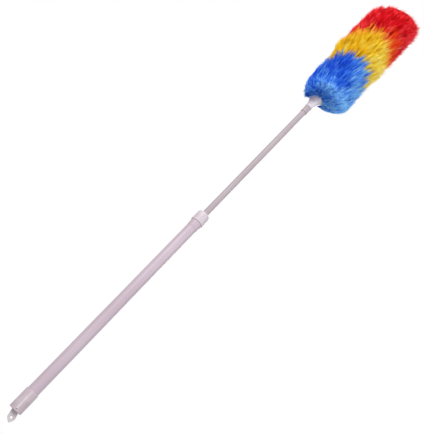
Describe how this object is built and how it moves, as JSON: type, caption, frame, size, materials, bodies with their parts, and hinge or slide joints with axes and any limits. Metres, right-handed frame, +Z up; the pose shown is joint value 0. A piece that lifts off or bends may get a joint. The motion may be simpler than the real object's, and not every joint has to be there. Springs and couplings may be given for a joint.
{
  "type": "feather duster",
  "caption": "Telescopic duster: capped outer tube, twist-lock nut, thinner inner tube and a fluffy striped fibre head that flares from a small cup, with a hang tab at the foot.",
  "frame": {"origin": "on the pole's axis, at the middle of the bare outer tube, where a hand or a broom clip holds it", "axes": "+Z up the pole to the fibre head; +X the side that the head droops and the hang tab leans to; the hang tab's flat faces look along Y"},
  "size_m": [0.13, 0.13, 1.274],
  "materials": {
    "coated_tube": "satin",
    "cap_plastic": "satin",
    "nut_plastic": "satin",
    "cup_plastic": "gloss",
    "inner_plastic": "satin",
    "bush_plastic": "satin",
    "brake_rubber": "matte",
    "rod_metal": "satin",
    "pin_steel": "satin",
    "blue_fibre": "satin",
    "yellow_fibre": "satin",
    "red_fibre": "satin"
  },
  "bodies": {
    "handle": {"outer_tube": "coated_tube", "end_cap": "cap_plastic", "hang_pin": "pin_steel", "lock_body": "inner_plastic"},
    "tab": {"hang_tab": "cap_plastic"},
    "gripper": {"collet": "inner_plastic"},
    "nut": {"lock_nut": "nut_plastic"},
    "slider": {"brake_ring": "brake_rubber"},
    "rod": {"inner_tube": "rod_metal", "guide_bush": "bush_plastic", "bush_pin": "pin_steel", "tip_plug": "inner_plastic", "ferrule": "rod_metal", "ferrule_rivet": "pin_steel"},
    "head": {"head_cup": "cup_plastic", "core_socket": "inner_plastic", "core_wire": "pin_steel", "fibre_blue": "blue_fibre", "fibre_yellow": "yellow_fibre", "fibre_red": "red_fibre", "tip_cap": "inner_plastic"}
  },
  "joints": [
    {"name": "tab_swing", "type": "hinge", "parent": "handle", "child": "tab", "pos_m": [0, 0, -0.2405], "axis": [0, 1, 0], "range_deg": [-15, 45]},
    {"name": "collet_lift", "type": "slide", "parent": "handle", "child": "gripper", "axis": [0, 0, 1], "range_m": [0, 0.001]},
    {"name": "nut_turn", "type": "hinge", "parent": "gripper", "child": "nut", "pos_m": [0, 0, 0.234], "axis": [0, 0, 1], "range_deg": [0, 120]},
    {"name": "extension", "type": "slide", "parent": "handle", "child": "slider", "axis": [0, 0, 1], "range_m": [-0.334, 0.057]},
    {"name": "rod_spin", "type": "hinge", "parent": "slider", "child": "rod", "pos_m": [0, 0, 0.129], "axis": [0, 0, 1], "continuous": true},
    {"name": "head_release", "type": "slide", "parent": "rod", "child": "head", "axis": [0, 0, 1], "range_m": [0, 0.03]}
  ],
  "couplings": [
    {"joint": "collet_lift", "follows": "nut_turn", "m_per_rad": 0.00047746}
  ]
}
